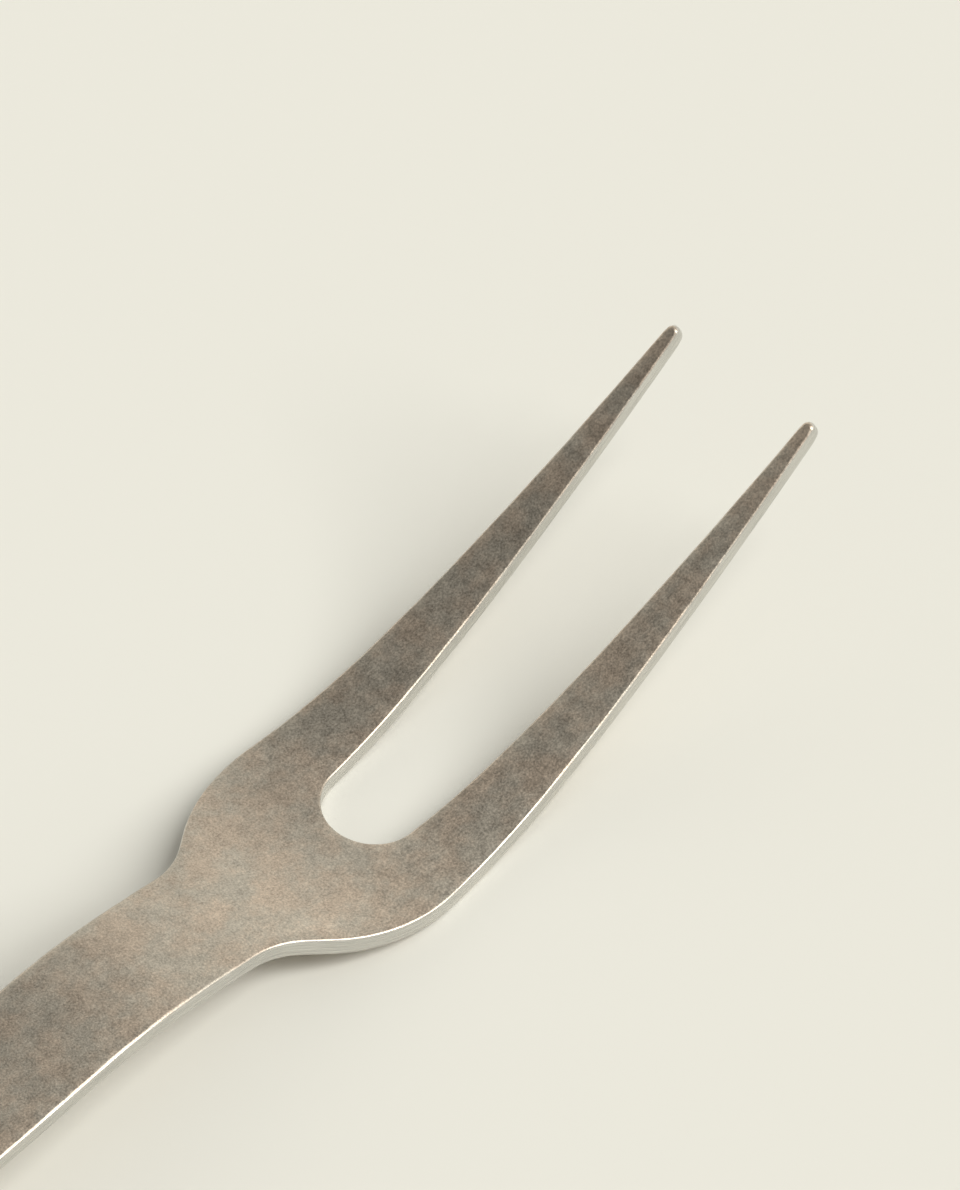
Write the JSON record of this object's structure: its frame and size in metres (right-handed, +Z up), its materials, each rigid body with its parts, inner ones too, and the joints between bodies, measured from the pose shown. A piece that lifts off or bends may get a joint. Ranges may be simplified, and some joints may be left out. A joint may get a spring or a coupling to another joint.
{
  "type": "table fork",
  "caption": "Two-tined fork cut from one flat steel plate, with rounded shoulders, long tapering tines and a flat bar handle bent in a low arch.",
  "frame": {"origin": "middle of the fork's bounding box in plan, on the surface that it rests on", "axes": "+X from the handle end to the tine tips, +Y across the head, +Z up with the hollow side of the tines facing up"},
  "size_m": [0.21, 0.0254, 0.0189],
  "materials": {
    "steel": "tumbled, matt and mottled, warm grey, with ground edges"
  },
  "bodies": {
    "root": {"fork": "steel"}
  },
  "joints": []
}
